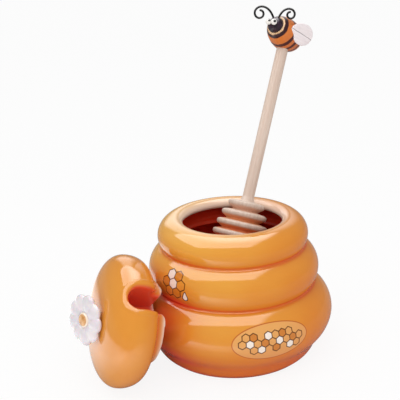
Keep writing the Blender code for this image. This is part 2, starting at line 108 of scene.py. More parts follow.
def new_material(name):
    """A new material, its node tree, and its principled shader, which is joined to the output."""
    surface = bpy.data.materials.new(name)
    tree = empty_tree(surface)
    shader = add_node(tree, "BsdfPrincipled")
    add_node(tree, "OutputMaterial", {"Surface": shader})
    return surface, tree, shader


def softbox(name, spot, aim, size, radiance, fade, glossy=True):
    """A rectangular lamp that faces a point. Its radiance eases off towards its edges, over a share of its
    sides: the product of both sides' smooth steps of the distance from the nearer end."""
    data = bpy.data.lights.new(name, "AREA")
    data.shape = "RECTANGLE"
    data.size, data.size_y = size
    data.energy = radiance * np.pi * size[0] * size[1]
    tree = empty_tree(data)
    cloth = add_node(tree, "NewGeometry")
    parts = add_node(tree, "SeparateXYZ", {0: cloth.outputs["Parametric"]})
    eased = []
    for side in parts.outputs[:2]:
        inward = add_node(tree, "Math", {0: side, 1: 0.5}, operation="PINGPONG")
        eased.append(add_node(tree, "MapRange", {0: inward, 1: 0.0, 2: fade}, interpolation_type="SMOOTHSTEP"))
    level = add_node(tree, "Math", {0: eased[0], 1: eased[1]}, operation="MULTIPLY")
    lit = add_node(tree, "Emission", {"Strength": level})
    add_node(tree, "OutputLight", {"Surface": lit})
    lamp = bpy.data.objects.new(name, data)
    lamp.location = spot
    lamp.rotation_euler = (Vector(aim) - Vector(spot)).to_track_quat("-Z", "Y").to_euler()
    lamp.visible_camera = False
    lamp.visible_glossy, lamp.visible_diffuse = glossy, not glossy
    bpy.context.scene.collection.objects.link(lamp)


# The camera sees white paper all round. The glaze mirrors it darker, as a studio is away from its lamps.
table_reach = 4.0
sweep_light, sweep_mirrored = 0.78, 0.25
paper_light, paper_mirrored = 0.95, 0.42
paper_glow = 0.88
sweep = bpy.data.worlds.new("white_sweep")
tree = empty_tree(sweep)
ray = add_node(tree, "LightPath")
around = add_node(tree, "MapRange", {0: ray.outputs["Is Glossy Ray"], 3: sweep_light, 4: sweep_mirrored})
strength = add_node(tree, "Math", {0: ray.outputs["Is Camera Ray"], 1: around}, operation="MAXIMUM")
glow = add_node(tree, "Background", {"Color": (1.0, 1.0, 1.0, 1.0), "Strength": strength})
add_node(tree, "OutputWorld", {"Surface": glow})
bpy.context.scene.world = sweep

table_mesh = bpy.data.meshes.new("table")
corners = [(x, y, 0.0) for x, y in ((-1, -1), (1, -1), (1, 1), (-1, 1))]
table_mesh.from_pydata((np.array(corners) * table_reach).tolist(), [], [(0, 1, 2, 3)])
table = bpy.data.objects.new("table", table_mesh)
bpy.context.scene.collection.objects.link(table)
white = bpy.data.materials.new("white_paper")
tree = empty_tree(white)
ray = add_node(tree, "LightPath")
share = add_node(tree, "Math", {0: ray.outputs["Is Camera Ray"], 1: paper_glow}, operation="MULTIPLY")
grey = add_node(tree, "MapRange", {0: ray.outputs["Is Glossy Ray"], 3: paper_light, 4: paper_mirrored})
paper = add_node(tree, "BsdfDiffuse", {"Color": grey})
lit = add_node(tree, "Emission", {"Color": (1.0, 1.0, 1.0, 1.0), "Strength": 1.0})
mixed = add_node(tree, "MixShader", {0: share, 1: paper, 2: lit})
add_node(tree, "OutputMaterial", {"Surface": mixed})
table_mesh.materials.append(white)

softbox("overhead_box", (-0.28, 0.0, 0.75), (-0.28, 0.0, 0.0), (1.40, 1.20), 3.9, 0.10)
softbox("overhead_core", (0.04, 0.22, 0.749), (0.04, 0.22, 0.0), (0.96, 0.84), 3.4, 0.45)
softbox("back_box", (-0.23, 0.60, 0.48), (-0.23, -0.265, -0.02), (0.66, 0.80), 2.1, 0.30)
softbox("back_side_box", (0.14, 0.60, 0.48), (0.14, -0.265, -0.02), (0.70, 0.80), 1.5, 0.50)
softbox("table_left", (-0.150, -0.01, 0.0015), (-0.150, -0.01, 1.0), (0.176, 0.34), 1.3, 0.30)
softbox("table_front", (-0.07, -0.115, 0.0014), (-0.07, -0.115, 1.0), (0.24, 0.13), 1.5, 0.45)
softbox("front_fill", (-0.10, -0.46, 0.58), (0.0, 0.0, 0.04), (0.8, 0.8), 1.02, 0.05, False)

bpy.context.scene.view_settings.view_transform = "Standard"


# Pot body
# Slip-cast earthenware in three round tiers like a straw beehive, with a rounded mouth and a flat foot.
# It is dipped in clear amber glaze, which is thin and yellow on the crowns and pools orange-red in the creases and
# under each tier; inside, the glaze is painted deep red as shade.

pot_tiers = np.array([
    (0.0303, 0.0643, 0.0095, 0.0095),
    (0.0324, 0.0464, 0.0129, 0.0133),
    (0.0361, 0.0224, 0.0164, 0.0168),
])
pot_wall = 0.005
pot_inner_drop = 0.002
pot_lip = 0.006
pot_mouth = 0.0261
pot_floor = 0.0075
pot_foot = 0.0425
foot_flare_level = 0.0085
foot_bevel = 0.0008
glaze_softness = 0.0006
bend_softness = 0.0008
foot_softness, foot_soft_level, foot_soft_blend, foot_rim = 0.0026, 0.022, 0.006, 0.002


def unit(values):
    """The values, held between 0 and 1."""
    return np.clip(values, 0.0, 1.0)


def oval(centre, reach, start, end, count=48):
    """Points (radius, level) on an ellipse from one angle to another, in degrees."""
    angles = np.radians(np.linspace(start, end, count))
    return np.stack([centre[0] + reach[0] * np.cos(angles), centre[1] + reach[1] * np.sin(angles)], axis=-1)


def stacked(tiers):
    """Outline down a stack of ellipses: the outer half of each, less what lies inside its neighbours."""
    kept = []
    for i, (radius, level, bulge, half) in enumerate(tiers):
        side = oval((radius, level), (bulge, half), 90, -90, 400)
        others = np.delete(tiers, i, axis=0)
        shares = (side[:, None, :] - others[None, :, :2]) / others[None, :, 2:]
        kept.append(side[((shares ** 2).sum(axis=-1) > 1.0).all(axis=1)])
    return np.concatenate(kept)


def blurred(rows, softness, step):
    """Each row moved to the bell-weighted mean of its neighbours along the length; the two ends stay."""
    reach = int(3 * softness / step) + 1
    bell = np.exp(-0.5 * (np.arange(-reach, reach + 1) * step / softness) ** 2)
    bell /= bell.sum()
    ends = [2 * rows[0] - rows[reach:0:-1], rows, 2 * rows[-1] - rows[-2:-reach - 2:-1]]
    return np.stack([np.convolve(side, bell, "valid") for side in np.concatenate(ends).T], axis=-1)


def lengths(outline):
    """Length along an outline at each of its points."""
    return np.concatenate([[0.0], np.cumsum(np.hypot(*np.diff(outline, axis=0).T))])


def softened(outline, softness, step):
    """The outline spread evenly along its length and blurred, as glaze or sanding rounds every corner."""
    length = lengths(outline)
    along = np.linspace(0.0, length[-1], int(length[-1] / step) + 1)
    even = np.stack([np.interp(along, length, side) for side in outline.T], axis=-1)
    return blurred(even, softness, step)


def turning(outline):
    """Direction along an outline and how fast it bends, in turns to the left per metre."""
    way = np.gradient(outline, axis=0)
    step = np.hypot(*way.T)
    heading = np.unwrap(np.arctan2(way[:, 1], way[:, 0]))
    return way / step[:, None], np.gradient(heading) / step


def turned(outline, columns):
    """Grid of points of a turned surface: each (radius, level) goes once round the axis."""
    angles = np.linspace(0.0, 2 * np.pi, columns + 1)
    radius, level = outline.T
    upright = np.repeat(level[:, None], columns + 1, axis=1)
    return np.stack([np.outer(radius, np.cos(angles)), np.outer(radius, np.sin(angles)), upright], axis=-1)


def placed(points, place):
    """Points of a piece's own frame, in the model's frame."""
    return points @ place[:3, :3].T + place[:3, 3]


def marked_mesh(name, points, faces, marks):
    """Mesh of points and faces. Marks are numbers kept at the points for the material."""
    mesh = bpy.data.meshes.new(name)
    mesh.from_pydata(points.reshape(-1, 3).tolist(), [], faces.tolist())
    for mark, values in (marks or {}).items():
        layer = mesh.attributes.new(mark, "FLOAT", "POINT")
        layer.data.foreach_set("value", np.broadcast_to(values, points.shape[:-1]).ravel().astype(np.float32))
    return mesh


def grid_mesh(name, points, marks=None, plan=None):
    """Mesh of a grid of points (rows, columns, 3): four neighbours make a face, and points that fall
    together at a seam or a pole become one. Plan is the flat place of each point, as the mesh's map."""
    rows, columns = points.shape[:2]
    index = np.arange(rows * columns).reshape(rows, columns)
    faces = np.stack([index[:-1, :-1], index[:-1, 1:], index[1:, 1:], index[1:, :-1]], axis=-1).reshape(-1, 4)
    mesh = marked_mesh(name, points, faces, marks)
    if plan is not None:
        layer = mesh.uv_layers.new(name="plan")
        layer.data.foreach_set("uv", plan.reshape(-1, 2)[faces.ravel()].ravel().astype(np.float32))
    form = bmesh.new()
    form.from_mesh(mesh)
    bmesh.ops.remove_doubles(form, verts=form.verts, dist=0.0000005)
    if form.calc_volume(signed=True) < 0:
        bmesh.ops.reverse_faces(form, faces=form.faces)
    form.to_mesh(mesh)
    form.free()
    return mesh


def place_piece(name, mesh, surface, body, slot, *nodes):
    """Shows a mesh with its material, on the body that it rides, in the place of the nodes it stands for."""
    piece = bpy.data.objects.new(name, mesh)
    bpy.context.scene.collection.objects.link(piece)
    mesh.materials.append(surface)
    mesh.shade_smooth()
    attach(piece, body)
    if nodes:
        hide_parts(*nodes)


def pot_section():
    """Outline of the wall: from the cavity's floor up the inside, over the lip, down the tiers to the foot."""
    inner = pot_tiers - np.array([0.0, 0.0, pot_wall, pot_inner_drop])
    top, low = inner[0], inner[2]
    under_lip = oval(top[:2], (top[2], pot_tiers[0, 3] - pot_lip), 90, 0)
    sides = stacked(inner)
    sides = sides[(sides[:, 1] < top[1]) & (sides[:, 1] > low[1])]
    bowl = oval(low[:2], (low[2], low[1] - pot_floor), 0, -90)
    crown = pot_tiers[0, 1] + pot_tiers[0, 3]
    lip = oval((top[0], crown - pot_lip / 2), (top[0] - pot_mouth, pot_lip / 2), -90, -270)
    outer = stacked(pot_tiers)
    outer = outer[outer[:, 1] > foot_flare_level]
    foot = [(pot_foot, foot_bevel), (pot_foot - foot_bevel, 0.0), (0.0, 0.0)]
    cavity = np.concatenate([[(0.0, pot_floor)], bowl[::-1], sides[::-1], under_lip[::-1]])
    return np.concatenate([cavity, lip[1:-1], outer, foot])


pot_step = 0.0006
pot_outline = softened(pot_section(), glaze_softness, pot_step)
near_foot = unit((foot_soft_level - pot_outline[:, 1:]) / foot_soft_blend)
near_foot = near_foot * (pot_outline[:, :1] > pot_foot - foot_rim)
pot_outline = pot_outline + near_foot * (blurred(pot_outline, foot_softness, pot_step) - pot_outline)
pot_length = lengths(pot_outline)
way, bend = turning(pot_outline)
bend = blurred(bend[:, None], bend_softness, pot_step)[:, 0]
near_mouth = np.flatnonzero(pot_outline[:, 1] > pot_tiers[0, 1] + pot_tiers[0, 3] - pot_lip)
mouth_length = pot_length[near_mouth[np.argmin(pot_outline[near_mouth, 0])]]

# The glaze: how deep it is everywhere, and how much deeper under a tier, in a crease and near the foot, with painted
# shade laid in on the right side and in a bell on the left. It is thinner on the crowns and gone on the mouth's
# edge, where a painted highlight also lies.
glaze_even, glaze_under, glaze_crease, glaze_crown, glaze_foot = 0.36, 0.10, 0.20, 0.08, 0.20
right_side_shade, left_shade_depth, left_under_shade = 0.13, 0.50, 1.7
left_shade_width, under_width, left_shade_height = 0.40, 0.60, 0.017
under_start, under_most = 0.2, 0.6
crease_turn, crown_turn = 400, 625
foot_rise = 0.009
# Painted shade inside the pot: below the mouth's edge the glaze is painted deep red, easing in over 7 mm.
inside_shade_start, inside_shade_blend, inside_shade_power = 0.0018, 0.0070, 0.8
# The mouth's edge is pale: partly the bare body where the glaze breaks thin, partly a painted highlight on the lip's
# crown and inside.
mouth_bare_and_sheen, bare_and_sheen_inside, bare_and_sheen_outside = 0.92, 0.0052, 0.0040
inside_shade_share = unit((mouth_length - inside_shade_start - pot_length) / inside_shade_blend) ** inside_shade_power
outer_depth = (glaze_even + glaze_under * np.clip(-way[:, 0], -1.0, 1.0)
               + glaze_crease * unit(bend / crease_turn)
               - glaze_crown * unit(-bend / crown_turn)
               + glaze_foot * np.exp(-pot_outline[:, 1] / foot_rise))
bare_and_sheen_reach = np.where(pot_length < mouth_length, bare_and_sheen_inside, bare_and_sheen_outside)
pot_bare_and_sheen = mouth_bare_and_sheen * np.exp(-((pot_length - mouth_length) / bare_and_sheen_reach) ** 2)
# Painted shade and the lid's reflection: a bell on the pot's left, next to the lid, painted deeper red, and more
# under each tier there.
left_shade_bearing = np.radians(-52)
left_shade_level = 0.030


def glaze_depth(along, bearing):
    """Depth of the glaze, from 0 to 1, at a length along the wall's outline and a bearing from the front, with
    painted shade laid in: greatest inside, which is painted shade, more in creases and near the foot, more on the
    right as painted shade, and most on the left, in a bell of painted shade from the lid on the lowest tier and
    under each tier."""
    outside = 1 - np.interp(along, pot_length, inside_shade_share)
    level = np.interp(along, pot_length, pot_outline[:, 1])
    under = left_under_shade * np.clip(np.interp(along, pot_length, -way[:, 0]) - under_start, 0.0, under_most)
    left_shade = np.exp(-((bearing - left_shade_bearing) / left_shade_width) ** 2 - ((level - left_shade_level) / left_shade_height) ** 2)
    left_shade = unit(left_shade + under * np.exp(-((bearing - left_shade_bearing) / under_width) ** 2))
    # Painted shade: the glaze deepens towards the right side, away from the light, and pales on the left.
    depth = np.interp(along, pot_length, outer_depth) + right_side_shade * np.sin(bearing) + left_shade_depth * left_shade
    return 1 - outside * (1 - unit(depth))


def wavered(tree, value, place, size, detail, reach):
    """A value shifted up or down, by up to a reach, by noise of a size in metres."""
    noise = add_node(tree, "TexNoise", {"Vector": place, "Scale": 1 / size, "Detail": detail})
    shift = add_node(tree, "MapRange", {0: noise, 3: -reach, 4: reach})
    return add_node(tree, "Math", {0: value, 1: shift}, operation="ADD")


def amber_glaze(name, layers=()):
    """Clear amber glaze over a pale body: colour by its depth, which carries painted shade, with clouds 22 mm
    across, a coat that mirrors sharply, and a faint waviness a centimetre across, from the way it ran. The pale body
    shows where the glaze breaks over an edge and, on the pot's mouth, is also a painted highlight; each layer prints
    a colour where its mark, a distance, is below zero."""
    surface, tree, shader = new_material(name)
    place = add_node(tree, "TexCoord").outputs["Object"]
    clouded = wavered(tree, "glaze_depth", place, 0.022, 2.0, 0.06)
    # The red end of the ramp is reached by painted shade: inside the pot and the lid, in the notch and on the pot's
    # left.
    colour = add_node(tree, "ValToRGB", {0: clouded}, [
        (0.0, "ECBE70"), (0.22, "E6A442"), (0.40, "DF8B31"), (0.60, "DC6C2B"), (0.80, "EC5434"), (1.0, "CC2E14")])
    # The pale mix is bare body on the lid's flange edge and, on the pot's mouth, partly a painted highlight.
    colour = add_node(tree, "Mix", {0: "bare_and_sheen", 6: colour, 7: linear("F3DCCB")}, data_type="RGBA").outputs[2]
    for mark, shade, strength in layers:
        inked = add_node(tree, "MapRange", {0: mark, 1: -0.00005, 2: 0.00005, 3: strength, 4: 0.0})
        colour = add_node(tree, "Mix", {0: inked, 6: colour, 7: linear(shade)}, data_type="RGBA").outputs[2]
    waves = add_node(tree, "TexNoise", {"Vector": place, "Scale": 1 / 0.011, "Detail": 1.0})
    bump = add_node(tree, "Bump", {"Strength": 0.12, "Distance": 0.0006, "Height": waves})
    set_inputs(shader, {"Base Color": colour, "Roughness": 0.07, "IOR": 1.52, "Normal": bump})
    return surface


amber = amber_glaze("amber_glaze")
round_pot = (np.linspace(0.0, 2 * np.pi, 145) + np.pi * 3 / 2) % (2 * np.pi) - np.pi
pot_mesh = grid_mesh("pot", turned(pot_outline, 144), {
    "glaze_depth": glaze_depth(pot_length[:, None], round_pot), "bare_and_sheen": pot_bare_and_sheen[:, None]})
place_piece("pot_glazed", pot_mesh, amber, "pot", "amber_glaze", "pot_body")


# Prints on the pot
# Two transfers fired on under a last clear coat: an oval label with a strip of honeycomb on the lowest
# tier, and a cluster of cells with a drop of honey on the middle one. Each is a thin film on the glaze.

film_step = 0.0002
film_lift = 0.00004
film_sink = 0.00003
film_edge = 0.002
ink_width = 0.0005


def hexagon(points, centre, width):
    """Distance from a hexagon that stands on a point, negative inside: the most by which a place passes
    its three pairs of sides."""
    x, y = np.moveaxis(np.abs(points - centre), -1, 0)
    return np.maximum(x, x / 2 + y * np.sqrt(0.75)) - width / 2


def drop(points, centre, radius, height):
    """Distance from a drop, negative inside: the least over a stack of circles that shrink to its tip."""
    rises = np.linspace(0.0, 1.0, 24)
    return np.min([np.hypot(points[..., 0] - centre[0], points[..., 1] - centre[1] - rise * height)
                   - radius * (1 - rise) ** 0.8 for rise in rises], axis=0)


def print_marks(points, comb, width, drops=()):
    """Marks of a comb and its drops: distances from the ink of the outlines, from the cream and from the
    honey, negative on them. A comb's row is (row, first column, cells), where c is a cell with cream, h one
    with honey, a dot an empty one and a space none. A drop is (centre, radius, height, filling)."""
    marks = {key: np.full(points.shape[:2], 1.0) for key in ("ink", "cream", "honey_and_groove_shade")}
    shapes = [(hexagon(points, ((first + i + row % 2 / 2) * width, row * width * np.sqrt(0.75)), width), cell)
              for row, first, cells in comb for i, cell in enumerate(cells) if cell != " "]
    shapes += [(drop(points, centre, radius, height), filling) for centre, radius, height, filling in drops]
    for gap, filling in shapes:
        marks["ink"] = np.minimum(marks["ink"], np.abs(gap) - ink_width / 2)
        if filling != ".":
            mark = {"c": "cream", "h": "honey_and_groove_shade"}[filling]
            marks[mark] = np.minimum(marks[mark], gap)
    return marks


def film(bearing, along, reach):
    """Plan grid of a film, in metres right and up from its middle, and the same grid on the pot: out from
    the wall's outline, then back beneath it, so that the film is closed and its edge is under the glaze."""
    across, up = (np.linspace(-r, r, int(2 * r / film_step) + 1) for r in reach)
    x, y = np.meshgrid(across, up)
    flat = np.concatenate([np.stack([x, y], axis=-1), np.stack([x, y], axis=-1)[::-1]])
    near_edge = np.minimum(reach[0] - np.abs(flat[..., 0]), reach[1] - np.abs(flat[..., 1]))
    share = unit(near_edge / film_edge)
    side = np.where(np.arange(len(flat)) < len(up), 1.0, -1.0)[:, None]
    lift = side * film_lift * share ** 2 * (3 - 2 * share) - film_sink * (1 - share) - film_sink * (side < 0) * share
    length = along - flat[..., 1]
    radius, level = (np.interp(length, pot_length, c) for c in pot_outline.T)
    out, rise = (np.interp(length, pot_length, c) for c in (-way[:, 1], way[:, 0]))
    turn = bearing + flat[..., 0] / np.interp(along, pot_length, pot_outline[:, 0])
    radius, level = radius + lift * out, level + lift * rise
    return flat, np.stack([radius * np.sin(turn), -radius * np.cos(turn), level], axis=-1), glaze_depth(length, turn)


def length_at(level, tier):
    """Length along the outline at a level on a tier's outer side."""
    outer = (pot_length > mouth_length) & (pot_outline[:, 0] > pot_tiers[tier, 0])
    return pot_length[outer][np.argmin(np.abs(pot_outline[outer, 1] - level))]


label_bearing, label_rise, label_film = 20.2, 0.0028, (0.0225, 0.0116)
label_reach = (0.0205, 0.0096)
label_rim, rim_width = 0.0002, 0.00052
label_place = length_at(pot_tiers[2, 1], 2) - label_rise
flat, points, depth = film(np.radians(label_bearing), label_place, label_film)
away = np.hypot(flat[..., 0] / label_reach[0], flat[..., 1] / label_reach[1])
rate = np.hypot(flat[..., 0] / label_reach[0] ** 2, flat[..., 1] / label_reach[1] ** 2) / np.clip(away, 0.1, None)
inset = (away - 1) / np.clip(rate, 1.0, None)
marks = print_marks(flat, [(0, -4, ".c.h.c.h."), (1, -4, ".h c.h."), (-1, -3, ".c h c.")], 0.0038)
marks.update(glaze_depth=depth, label=inset, rim=np.abs(inset + label_rim) - rim_width / 2)
label_glaze = amber_glaze("amber_glaze_label", [
    ("label", "EEC288", 0.36), ("cream", "F6EADF", 0.95), ("honey_and_groove_shade", "C8701E", 0.75), ("ink", "4A2410", 0.92),
    ("rim", "B8541A", 0.85)])
place_piece("label_film", grid_mesh("label", points, marks), label_glaze, "pot", "amber_glaze")

comb_bearing, comb_level, comb_film = -42.5, 0.0500, (0.0112, 0.0094)
flat, points, depth = film(np.radians(comb_bearing), length_at(comb_level, 1), comb_film)
marks = print_marks(flat, [(0, -1, "hc."), (1, -1, "ch"), (-1, -1, ".h")], 0.0050,
                    [((0.0078, -0.0058), 0.0015, 0.0032, "c")])
marks.update(glaze_depth=depth)
comb_glaze = amber_glaze("amber_glaze_comb", [
    ("cream", "F6EADF", 0.95), ("honey_and_groove_shade", "D07A22", 0.75), ("ink", "4A2412", 0.92)])
place_piece("comb_film", grid_mesh("comb", points, marks), comb_glaze, "pot", "amber_glaze")


# Lid
# A slip-cast domed shell with a locating flange below and an arched notch for the dipper's handle.
# The notch is cast in, with its own rolled wall, and every edge is round. It stands on its edge and leans
# on the pot.

lid_frame = np.array([
    (0.374607, 0.216447, -0.901566, -0.042579),
    (-0.927184, 0.087450, -0.364256, -0.031622),
    (0.0, 0.972370, 0.233445, 0.028785),
])
lid_radius = 0.0331
lid_height = 0.0297
lid_widest = 0.0162
lid_seat = 0.0262
lid_wall = 0.0042
lid_roundness = 2.4
flange_radius = 0.0213
flange_edge = 0.0207
flange_height = 0.0061
flange_wall = 0.0034
flange_fillet = 0.0040
notch_width = 0.0103
notch_top = 0.0212
notch_bearing = 44.5
notch_start = 0.006
notch_lean = 0.0026
notch_flare = 0.0030
notch_wall = 0.0034
notch_lean_rise = 0.010
notch_softness, soft_share, soft_rise = 0.0038, 0.45, 0.014
lining_softness = 0.001


def dome(radius, height):
    """Upper side of the dome from its top to its widest line, a circle drawn squarer by its roundness."""
    angles = np.linspace(0.0, np.pi / 2, 90)
    power = 2 / lid_roundness
    rise = height - lid_widest
    return np.stack([radius * np.sin(angles) ** power,
                     lid_widest + rise * unit(np.cos(angles)) ** power], axis=-1)


def lid_outside():
    """Outline of the shell's outside: down the dome, in under it, and down the flange to its edge."""
    under = oval((lid_seat, lid_widest), (lid_radius - lid_seat, lid_widest - flange_height), 0, -90)
    fillet = oval((flange_radius + flange_fillet, flange_height - flange_fillet),
                  (flange_fillet, flange_fillet), 90, 180)
    return np.concatenate([dome(lid_radius, lid_height), under[1:], fillet, [(flange_edge, 0.0)]])


def lid_section():
    """Outline of the shell: down the outside to the flange's edge, then up the inside to the ceiling."""
    bore = flange_edge - flange_wall
    inner = lid_radius - lid_wall
    low = oval((bore, lid_widest), (inner - bore, lid_widest - flange_height - lid_wall), -90, 0)
    ceiling = dome(inner, lid_height - lid_wall)[::-1]
    return np.concatenate([lid_outside(), [(bore, 0.0)], low, ceiling[1:]])


def section_distance(outline, low, high, step):
    """Signed distance to an outline that starts and ends on the axis, tabled on a fine grid; the result
    reads it at any (radius, level) between the grid's points. Inside the wall it is negative."""
    radii, levels = (np.arange(low[k], high[k] + step, step) for k in (0, 1))
    spots = np.stack(np.meshgrid(radii, levels, indexing="ij"), axis=-1)
    nearest = np.full(spots.shape[:2], np.inf)
    crossings = np.zeros(spots.shape[:2], int)
    for start, end in zip(outline[:-1], outline[1:]):
        edge = end - start
        reach = spots - start
        share = unit((reach @ edge) / (edge @ edge))
        nearest = np.minimum(nearest, ((reach - share[..., None] * edge) ** 2).sum(axis=-1))
        if start[1] != end[1]:
            between = (start[1] > spots[..., 1]) != (end[1] > spots[..., 1])
            crossings += between & (spots[..., 0] < start[0] + edge[0] * (spots[..., 1] - start[1]) / edge[1])
    table = np.sqrt(nearest) * np.where(crossings % 2 == 1, -1.0, 1.0)

    def read(radius, level):
        across = np.clip((radius - low[0]) / step, 0, len(radii) - 1.001)
        along = np.clip((level - low[1]) / step, 0, len(levels) - 1.001)
        i, j = across.astype(int), along.astype(int)
        u, v = across - i, along - j
        return ((1 - u) * ((1 - v) * table[i, j] + v * table[i, j + 1])
                + u * ((1 - v) * table[i + 1, j] + v * table[i + 1, j + 1]))

    return read


def soft_most(a, b, softness):
    """The greater of two distances, eased over the softness so that the edge between them is round."""
    share = np.maximum(softness - np.abs(a - b), 0.0) / softness
    return np.maximum(a, b) + share ** 2 * softness / 4


lid_table = ((0.0, -0.003), (0.037, 0.033), 0.0002)
lid_shell = section_distance(softened(lid_section(), glaze_softness, 0.0003), *lid_table)
lid_solid = section_distance(softened(np.append(lid_outside(), [(0.0, 0.0)], axis=0), glaze_softness, 0.0003),
                             *lid_table)


def out_and_side(points, bearing):
    """How far points lie out along a bearing in radians, and to its left."""
    x, y = points[..., 0], points[..., 1]
    return x * np.cos(bearing) + y * np.sin(bearing), y * np.cos(bearing) - x * np.sin(bearing)


def notch_gap(points):
    """Distance from the notch's air: an arch that runs outwards, flares at the flange's edge, and whose
    lower side leans in towards that edge."""
    out, side = out_and_side(points, np.radians(notch_bearing))
    z = points[..., 2]
    lean = notch_lean * unit(1 - z / notch_lean_rise)
    flare = notch_flare * unit(1 - z / notch_flare) ** 2
    half = (notch_width - lean) / 2
    arch = np.hypot(side - lean / 2, np.clip(z - notch_top + notch_width / 2, 0.0, None)) - half - flare
    return np.maximum(arch, notch_start - out)


def lid_field(points):
    """Distance from the lid's surface: the turned shell and a lining round the notch, less the notch."""
    reach, level = np.hypot(points[..., 0], points[..., 1]), points[..., 2]
    notch = notch_gap(points)
    lining = np.maximum(lid_solid(reach, level), notch - notch_wall)
    clay = -soft_most(-lid_shell(reach, level), -lining, lining_softness)
    return soft_most(clay, -notch, notch_softness * np.clip(soft_share + level / soft_rise, soft_share, 1.0))


def slope(field, points, step=0.00015):
    """Direction and rate in which a field of distances grows, from its values either side of each point."""
    sides = np.eye(3) * step
    return np.stack([field(points + s) - field(points - s) for s in sides], axis=-1) / (2 * step)


def netted(field, low, high, step):
    """Closed surface where a field of distances is zero, netted on a cubic grid: one point in each cell
    that the surface crosses, at the mean of its crossings of the cell's edges, and one face round each
    grid edge that it crosses. Each point then slides down the slope onto the zero itself."""
    axes = [np.arange(low[k], high[k] + step, step) for k in range(3)]
    spots = np.stack(np.meshgrid(*axes, indexing="ij"), axis=-1)
    values = field(spots)
    solid = values < 0
    cells = tuple(n - 1 for n in values.shape)
    total, count = np.zeros((*cells, 3)), np.zeros(cells)
    faces = []
    for axis in range(3):
        b, c = (axis + 1) % 3, (axis + 2) % 3
        v, s, p = (np.moveaxis(a, (axis, b, c), (0, 1, 2)) for a in (values, solid, spots))
        crossed = s[:-1] != s[1:]
        share = np.where(crossed, v[:-1] / np.where(crossed, v[:-1] - v[1:], 1.0), 0.0)
        place = (p[:-1] + share[..., None] * (p[1:] - p[:-1])) * crossed[..., None]
        sums, counts = (np.moveaxis(a, (axis, b, c), (0, 1, 2)) for a in (total, count))
        for db in (0, 1):
            for dc in (0, 1):
                window = np.s_[:, db:db + cells[b], dc:dc + cells[c]]
                sums += place[window]
                counts += crossed[window]
    used = count > 0
    index = np.full(cells, -1)
    index[used] = np.arange(used.sum())
    for axis in range(3):
        b, c = (axis + 1) % 3, (axis + 2) % 3
        s, net = (np.moveaxis(a, (axis, b, c), (0, 1, 2)) for a in (solid, index))
        i, j, k = np.nonzero(s[:-1, 1:-1, 1:-1] != s[1:, 1:-1, 1:-1])
        ring = np.stack([net[i, j, k], net[i, j + 1, k], net[i, j + 1, k + 1], net[i, j, k + 1]], axis=-1)
        faces.append(np.where(s[i, j + 1, k + 1][:, None], ring, ring[:, ::-1]))
    points = total[used] / count[used][:, None]
    for _ in range(5):
        rate = slope(field, points)
        points = points - rate * (field(points) / np.clip((rate ** 2).sum(axis=-1), 0.2, None))[:, None]
    return points, np.concatenate(faces), slope(field, points)


def netted_mesh(name, points, faces, normals, marks=None):
    """Mesh of a netted surface, shaded by the field's own slope."""
    mesh = marked_mesh(name, points, faces, marks)
    mesh.shade_smooth()
    lengths = np.linalg.norm(normals, axis=-1, keepdims=True)
    mesh.normals_split_custom_set_from_vertices((normals / lengths).tolist())
    return mesh


lid_net = ((-0.0345, -0.0345, -0.001), (0.0345, 0.0345, 0.031), 0.0005)
lid_points, lid_faces, lid_normals = netted(lid_field, *lid_net)
heart = np.array((0.0, 0.0, 0.012))
facing = ((lid_points - heart) * lid_normals).sum(axis=-1) / np.linalg.norm(lid_points - heart, axis=-1)
lid_reach = np.hypot(lid_points[:, 0], lid_points[:, 1])

# The glaze is deeper under the dome and in its corner with the flange, painted deep red as shade inside the lid and
# in the notch, and gone from the flange's edge.
lid_even, lid_under, lid_corner, lid_inside_shade_depth, notch_shade_depth = 0.35, 0.14, 0.30, 0.84, 0.80
corner_inset, corner_reach, notch_shade_reach = 0.003, 0.0035, 0.0010
inside_blend = 0.3
edge_bare, edge_reach = 0.95, 0.0015
corner = np.hypot(lid_reach - lid_seat + corner_inset, lid_points[:, 2] - flange_height)
lid_inside = unit(0.5 - facing / inside_blend)
lid_depth_and_shade = (lid_even + lid_under * unit(-lid_normals[:, 2])
             + lid_corner * np.exp(-(corner / corner_reach) ** 2))
# Painted shade: the lid's inside and the notch's channel are painted deep red.
lid_depth_and_shade = lid_depth_and_shade + lid_inside * (lid_inside_shade_depth - lid_depth_and_shade)
notch_shade = np.exp(-(notch_gap(lid_points) / notch_shade_reach) ** 2)
lid_depth_and_shade = unit(lid_depth_and_shade + notch_shade * (notch_shade_depth - lid_depth_and_shade))
lid_bare = edge_bare * np.exp(-(lid_points[:, 2] / edge_reach) ** 2)
lid_mesh = netted_mesh("lid", placed(lid_points, lid_frame), lid_faces, lid_normals @ lid_frame[:, :3].T,
                       {"glaze_depth": lid_depth_and_shade, "bare_and_sheen": lid_bare})
place_piece("lid_glazed", lid_mesh, amber, "lid", "amber_glaze", "lid_dome")


# Daisy knob
# Nine plump petals modelled by hand in the same clay, run together round a low disc, on a short neck.
# White glaze fills the furrows between them; an orange button sits in the middle in a cream ring.

